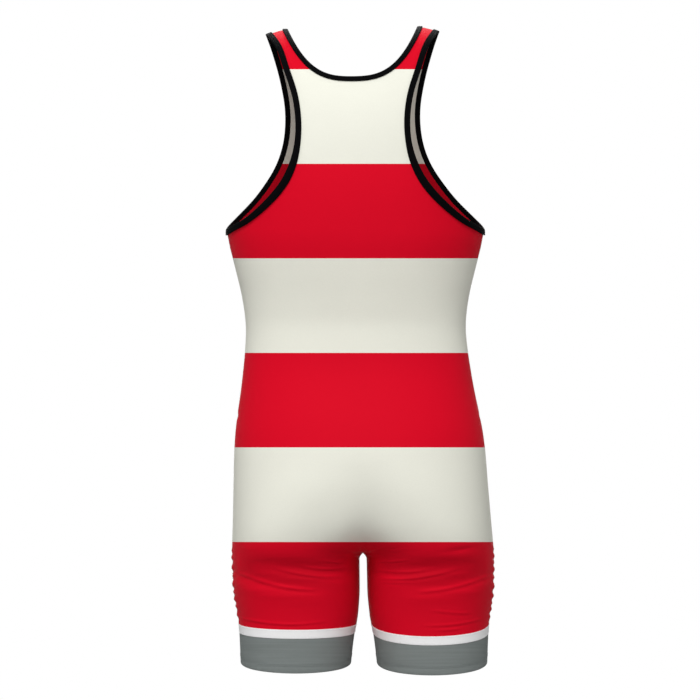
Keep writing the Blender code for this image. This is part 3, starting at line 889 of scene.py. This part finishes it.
def tree_of(*pieces):
    """A search tree of the pieces' faces."""
    joined = bmesh.new()
    for piece in pieces:
        joined.from_mesh(piece.data)
    tree = BVHTree.FromBMesh(joined)
    joined.free()
    return tree


def rows_along(tree, lines, lift):
    """Spots for stitches end to end along each line."""
    spots = []
    for line in lines:
        spots += on_cloth(tree, *even_places(line, STITCH_PITCH), lift)
    return spots


def bars_across(tree, lines, lift):
    """Spots for stitches that cross each line, slanting to either side by turns."""
    spots = []
    for line in lines:
        places = on_cloth(tree, *even_places(line, BAR_PITCH), lift)
        for n, (spot, along, side, out) in enumerate(places):
            lean = along * (BAR_LEAN if n % 2 else -BAR_LEAN)
            across_seam = (side + lean).normalized()
            spots.append((spot, across_seam, out.cross(across_seam), out))
    return spots


def dress(piece, *materials):
    """Gives a piece its materials in order."""
    piece.data.materials.clear()
    for material in materials:
        piece.data.materials.append(material)


def finish_piece(piece, node):
    """Attaches a sheet to the root, and hides its node's solid."""
    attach(piece, "root")
    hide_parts(node)


def put(material, target, value):
    """Sets a socket to a value, or links it to another socket."""
    if isinstance(value, bpy.types.NodeSocket):
        material.node_tree.links.new(value, target)
    else:
        target.default_value = value


def new_node(material, kind, **settings):
    """A new shader node with its settings."""
    node = material.node_tree.nodes.new("ShaderNode" + kind)
    for name, value in settings.items():
        setattr(node, name, value)
    return node


def reckon(material, operation, *values):
    """The result of a sum on values or sockets."""
    node = new_node(material, "Math", operation=operation)
    for target, value in zip(node.inputs, values):
        put(material, target, value)
    return node.outputs[0]


def mixed(material, share, first, second):
    """A mix of two colours, with this share of the second."""
    node = new_node(material, "Mix", data_type="RGBA")
    for name, value in (("Factor", share), ("A", first), ("B", second)):
        target = next(s for s in node.inputs if s.name == name and s.enabled)
        put(material, target, value)
    return next(s for s in node.outputs if s.enabled)


def scaled(material, colour, factor):
    """A colour made lighter or darker by a factor."""
    node = new_node(material, "VectorMath", operation="SCALE")
    put(material, node.inputs[0], colour)
    put(material, node.inputs["Scale"], factor)
    return node.outputs[0]


def noise(material, vector, scale, detail=2.0):
    """Soft random patches from 0 to 1."""
    node = new_node(material, "TexNoise")
    put(material, node.inputs["Vector"], vector)
    node.inputs["Scale"].default_value = scale
    node.inputs["Detail"].default_value = detail
    return node.outputs[0]


def knit(material, wale, course):
    """The height of a knit's loops on the piece's flat layout, from 0 to 1."""
    flat = new_node(material, "UVMap")
    parts = new_node(material, "SeparateXYZ")
    put(material, parts.inputs[0], flat.outputs["UV"])
    turns = [
        reckon(material, "MULTIPLY", parts.outputs[axis], 2 * math.pi / size)
        for axis, size in (("X", wale), ("Y", course))
    ]
    columns, rows = (reckon(material, "SINE", turn) for turn in turns)
    bulges = [reckon(material, "ABSOLUTE", wave) for wave in (columns, rows)]
    loops = reckon(material, "MULTIPLY", *bulges)
    return reckon(material, "MULTIPLY_ADD", columns, WALE_HEIGHT, loops)


def matt_material(name, roughness):
    """A matt material: returns it, its shader and its object coordinates."""
    material = bpy.data.materials.new(name)
    material.use_nodes = True
    shader = material.node_tree.nodes["Principled BSDF"]
    shader.inputs["Roughness"].default_value = roughness
    shader.inputs["Specular IOR Level"].default_value = CLOTH_GLOSS
    return material, shader, new_node(material, "TexCoord").outputs["Object"]


def raise_relief(material, shader, height, strength, depth):
    """Lets a height show as relief on the surface."""
    relief = new_node(material, "Bump")
    relief.inputs["Strength"].default_value = strength
    relief.inputs["Distance"].default_value = depth
    put(material, relief.inputs["Height"], height)
    put(material, shader.inputs["Normal"], relief.outputs[0])


def cloth(name, kind):
    """A knitted cloth: returns its material, its shader and its object coordinates."""
    material, shader, place = matt_material(name, kind.roughness)
    shader.inputs["Sheen Weight"].default_value = kind.sheen
    shader.inputs["Sheen Roughness"].default_value = SHEEN_ROUGHNESS
    fuzz, loops = noise(material, place, FUZZ_SCALE), knit(material, kind.wale, kind.course)
    height = reckon(material, "MULTIPLY_ADD", fuzz, FUZZ_HEIGHT, loops)
    raise_relief(material, shader, height, kind.bump, KNIT_DEPTH)
    return material, shader, place


def mottled_with_painted_shade(material, colour, place, spread):
    """A colour with soft patches and fine flecks, and painted shade that darkens it in the troughs
    of folds.
    """
    light = 1.0
    for scale in (PATCH_SCALE, FLECK_SCALE):
        spots = reckon(material, "SUBTRACT", noise(material, place, scale), 0.5)
        light = reckon(material, "MULTIPLY_ADD", spots, spread, light)
    # Painted shade: the colour is darkened where the cloth's fold attribute records a trough
    fold = new_node(material, "Attribute", attribute_name="fold").outputs["Fac"]
    trough = reckon(material, "MINIMUM", reckon(material, "MULTIPLY", fold, PAINTED_FOLD_SHADE), 0.0)
    light = reckon(material, "ADD", light, reckon(material, "MAXIMUM", trough, DARKEST_PAINTED_FOLD_SHADE))
    return scaled(material, colour, light)


def colour_socket(material, colour):
    """A colour that materials can work on."""
    node = new_node(material, "RGB")
    node.outputs[0].default_value = colour
    return node.outputs[0]


def hooped_knit(name, red, cream, strength=1.0):
    """Smooth stretch knit, printed in level hoops. A strength below 1 darkens the print towards
    black, as painted shade for the cloth's inner face.
    """
    material, shader, place = cloth(name, PANEL_KNIT)
    height = new_node(material, "SeparateXYZ")
    put(material, height.inputs[0], place)
    first = (PANEL_WALL - FIRST_HOOP_DROP) / HOOP_HEIGHT
    count = reckon(material, "MULTIPLY_ADD", height.outputs["Z"], -1 / HOOP_HEIGHT, first)
    odd = reckon(material, "FLOORED_MODULO", count, 2.0)
    print_share = reckon(material, "LESS_THAN", odd, 1.0)
    printed = mixed(material, print_share, tuple(red), tuple(cream))
    # Painted shade: the print is darkened towards black by the strength
    printed = mixed(material, strength, (0.0, 0.0, 0.0, 1.0), printed)
    tone = mottled_with_painted_shade(material, printed, place, PANEL_KNIT.spread)
    put(material, shader.inputs["Base Color"], tone)
    return material


def plain_knit(name, colour, kind, streaks=0.0):
    """A plain dyed knit, with faint streaks along its rows if it has them."""
    material, shader, place = cloth(name, kind)
    tone = mottled_with_painted_shade(material, colour_socket(material, tuple(colour)), place, kind.spread)
    if streaks:
        stretched = new_node(material, "VectorMath", operation="MULTIPLY")
        put(material, stretched.inputs[0], place)
        stretched.inputs[1].default_value = STREAK_SCALE
        streak = noise(material, stretched.outputs[0], 1.0, STREAK_DETAIL)
        streak = reckon(material, "SUBTRACT", streak, 0.5)
        tone = scaled(material, tone, reckon(material, "MULTIPLY_ADD", streak, streaks, 1.0))
    put(material, shader.inputs["Base Color"], tone)
    return material


def thread_finish(name, colour):
    """Twisted sewing thread."""
    material, shader, place = matt_material(name, THREAD_ROUGHNESS)
    twist = noise(material, place, THREAD_SCALE)
    raise_relief(material, shader, twist, THREAD_BUMP, THREAD_DEPTH)
    tone = mottled_with_painted_shade(material, colour_socket(material, tuple(colour)), place, THREAD_SPREAD)
    put(material, shader.inputs["Base Color"], tone)
    return material


class SINGLET_OT_panels(bpy.types.Operator):
    """Makes the front and the back panel"""

    bl_idname = "singlet.panels"
    bl_label = "Panels"

    def execute(self, context):
        sizes, colours = context.scene.singlet_sizes, context.scene.singlet_colours
        faces = ("back", "front")
        sheets = [panel_sheet(face + "_panel", face + "_cloth", sizes) for face in faces]
        crease_cloth(sheets, SEAT_DIPS + BACK_CREASES + FRONT_CREASES + PUCKERS)
        right_side = hooped_knit("hooped_knit", colours.red, colours.cream)
        # The inner face takes a copy of the knit that is darkened with painted shade
        painted_shade_inside = hooped_knit("hooped_knit_wrong_side", colours.red, colours.cream, INSIDE_PAINTED_SHADE)
        tree, seams = tree_of(*sheets), seam_lines(sheets[0])
        thread, lift = thread_finish("pale_thread", colours.pale), sizes.thread / 4
        bars = bars_across(tree, seams, lift)
        seam_bars = sewn("seam_bars", model_stitch(sizes, BAR_LENGTH), bars, thread)
        rails = [
            Line(line.points + [0, beside, 0], line.normals, False)
            for line in seams
            for beside in RAILS
        ]
        rows = rows_along(tree, rails, lift)
        seam_rows = sewn("seam_rows", model_stitch(sizes, sizes.stitch), rows, thread)
        cuts, sewings = (BACK_CUT, FRONT_CUT), ([seam_bars, seam_rows], [])
        for sheet, face, cut, sewing in zip(sheets, faces, cuts, sewings):
            activate(sheet)
            dress(sheet, right_side, painted_shade_inside)
            walled(sheet, sizes.cloth, 1)
            finish_piece(sheet, face + "_panel")
        return {"FINISHED"}


class SINGLET_OT_bindings(bpy.types.Operator):
    """Makes the folded tapes that bind the neck and the armholes"""

    bl_idname = "singlet.bindings"
    bl_label = "Bindings"

    def execute(self, context):
        sizes, colours = context.scene.singlet_sizes, context.scene.singlet_colours
        material = plain_knit("binding_knit", colours.black, BINDING_KNIT)
        thread = thread_finish("black_thread", colours.black)
        stitch, lift = model_stitch(sizes, sizes.stitch), sizes.thread / 4
        for node, cut in (
            ("neck_binding", NECK_CUT),
            ("armhole_binding_left", ARMHOLE_CUT),
            ("armhole_binding_right", ARMHOLE_CUT),
        ):
            tape = tape_sheet(node, node.replace("binding", "tape"), sizes)
            rows = [inset(edge, reach) for edge in edge_lines(tape) for reach in TAPE_ROWS]
            spots = rows_along(tree_of(tape), rows, lift)
            stitches = sewn(node.replace("binding", "stitching"), stitch, spots, thread)
            activate(tape)
            dress(tape, material)
            walled(tape, sizes.tape)
            finish_piece(tape, node)
        return {"FINISHED"}


class SINGLET_OT_leg_ends(bpy.types.Operator):
    """Makes the stripe and the band at the end of each leg"""

    bl_idname = "singlet.leg_ends"
    bl_label = "Leg ends"

    def execute(self, context):
        sizes, colours = context.scene.singlet_sizes, context.scene.singlet_colours
        stripe_knit = plain_knit("stripe_knit", colours.white, STRIPE_KNIT)
        band_knit = plain_knit("band_knit", colours.grey, BAND_KNIT, BAND_STREAKS)
        white_thread = thread_finish("white_thread", colours.white)
        grey_thread = thread_finish("grey_thread", colours.grey)
        stitch, lift = model_stitch(sizes, sizes.stitch), sizes.thread / 4
        for leg in LEGS:
            node = "leg_stripe_" + leg
            stripe, edges = leg_sheet(node, node + "_tape", STRIPE_RAISED, STRIPE_REACH)
            spots = rows_along(tree_of(stripe), [inset(edge, STRIPE_ROW) for edge in edges], lift)
            stitches = sewn("leg_stripe_stitching_" + leg, stitch, spots, white_thread)
            activate(stripe)
            dress(stripe, stripe_knit)
            walled(stripe, sizes.band)
            finish_piece(stripe, node)
            node = "leg_band_" + leg
            band, edges = leg_sheet(node, node + "_knit", BAND_RAISED, BAND_REACH, sizes.hem)
            spots = rows_along(tree_of(band), [inset(edges[-1], row) for row in HEM_ROWS], lift)
            stitches = sewn("leg_band_stitching_" + leg, stitch, spots, grey_thread)
            activate(band)
            dress(band, band_knit)
            walled(band, sizes.band * BAND_SHARE)
            finish_piece(band, node)
        return {"FINISHED"}


def light_air(world):
    """Even light from all round, white to look at."""
    world.use_nodes = True
    nodes, links = world.node_tree.nodes, world.node_tree.links
    air = nodes["Background"]
    air.inputs["Strength"].default_value = AIR_LIGHT
    backdrop = nodes.new("ShaderNodeBackground")
    backdrop.inputs["Strength"].default_value = 1.0
    for background in (air, backdrop):
        background.inputs["Color"].default_value = (1.0, 1.0, 1.0, 1.0)
    seen = nodes.new("ShaderNodeLightPath")
    mix = nodes.new("ShaderNodeMixShader")
    links.new(seen.outputs["Is Camera Ray"], mix.inputs["Fac"])
    links.new(air.outputs[0], mix.inputs[1])
    links.new(backdrop.outputs[0], mix.inputs[2])
    links.new(mix.outputs[0], nodes["World Output"].inputs["Surface"])


class SINGLET_OT_stage(bpy.types.Operator):
    """Makes the pale floor, the studio light and the camera"""

    bl_idname = "singlet.stage"
    bl_label = "Stage"

    def execute(self, context):
        deselect()
        bpy.ops.mesh.primitive_circle_add(
            vertices=FLOOR_SIDES, radius=FLOOR_RADIUS, fill_type="NGON", location=(0, 0, 0)
        )
        floor = context.object
        floor.name = "studio_floor"
        bpy.ops.object.mode_set(mode="EDIT")
        bpy.ops.mesh.select_all(action="SELECT")
        bpy.ops.transform.translate(value=(0, 0, FLOOR_HEIGHT))
        bpy.ops.object.mode_set(mode="OBJECT")
        paint = bpy.data.materials.new("studio_paint")
        paint.use_nodes = True
        shader = paint.node_tree.nodes["Principled BSDF"]
        shader.inputs["Roughness"].default_value = FLOOR_ROUGHNESS
        shader.inputs["Specular IOR Level"].default_value = 0.0
        seen = new_node(paint, "LightPath").outputs["Is Camera Ray"]
        tone = mixed(paint, seen, FLOOR_BOUNCE, FLOOR_PAINT)
        put(paint, shader.inputs["Base Color"], tone)
        floor.data.materials.append(paint)
        world = context.scene.world or bpy.data.worlds.new("studio_air")
        context.scene.world = world
        light_air(world)
        context.scene.view_settings.view_transform = "Standard"
        for box in SOFTBOXES:
            turn, lift = math.radians(box.azimuth), math.radians(box.height)
            reach, rise = SOFTBOX_AWAY * math.cos(lift), SOFTBOX_AWAY * math.sin(lift)
            place = (math.sin(turn) * reach, -math.cos(turn) * reach, SOFTBOX_AIM + rise)
            tilt = (math.pi / 2 - lift, 0, turn)
            bpy.ops.object.light_add(type="AREA", location=place, rotation=tilt)
            light = context.object
            light.name = box.name
            light.data.shape = "SQUARE"
            light.data.size = SOFTBOX_SIZE
            light.data.energy = box.power
            light.visible_camera = False
        bpy.ops.object.camera_add(location=CAMERA_PLACE, rotation=(math.pi / 2, 0, 0))
        camera = context.object
        camera.name = "studio_camera"
        camera.data.type = "ORTHO"
        camera.data.ortho_scale = CAMERA_FRAME
        context.scene.camera = camera
        return {"FINISHED"}


class SINGLET_PT_sidebar(bpy.types.Panel):
    """The singlet's sizes, colours and pieces"""

    bl_idname = "SINGLET_PT_sidebar"
    bl_label = "Athletic Singlet"
    bl_space_type = "VIEW_3D"
    bl_region_type = "UI"
    bl_category = "Singlet"

    def draw(self, context):
        for group in (context.scene.singlet_sizes, context.scene.singlet_colours):
            box = self.layout.box()
            for name in group.bl_rna.properties.keys():
                if name not in ("rna_type", "name"):
                    box.prop(group, name)
        for operator in OPERATORS:
            self.layout.operator(operator.bl_idname)


OPERATORS = (
    SINGLET_OT_panels,
    SINGLET_OT_bindings,
    SINGLET_OT_leg_ends,
    SINGLET_OT_stage,
)
CLASSES = (SingletSizes, SingletColours, *OPERATORS, SINGLET_PT_sidebar)


def register():
    """Registers the classes, and adds the settings to the scene."""
    for kind in CLASSES:
        bpy.utils.register_class(kind)
    bpy.types.Scene.singlet_sizes = PointerProperty(type=SingletSizes)
    bpy.types.Scene.singlet_colours = PointerProperty(type=SingletColours)


def unregister():
    """Takes away what register adds."""
    del bpy.types.Scene.singlet_colours
    del bpy.types.Scene.singlet_sizes
    for kind in reversed(CLASSES):
        bpy.utils.unregister_class(kind)


def main():
    """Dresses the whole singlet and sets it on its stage."""
    register()
    bpy.ops.singlet.panels()
    bpy.ops.singlet.bindings()
    bpy.ops.singlet.leg_ends()
    bpy.ops.singlet.stage()


if __name__ == "__main__":
    main()
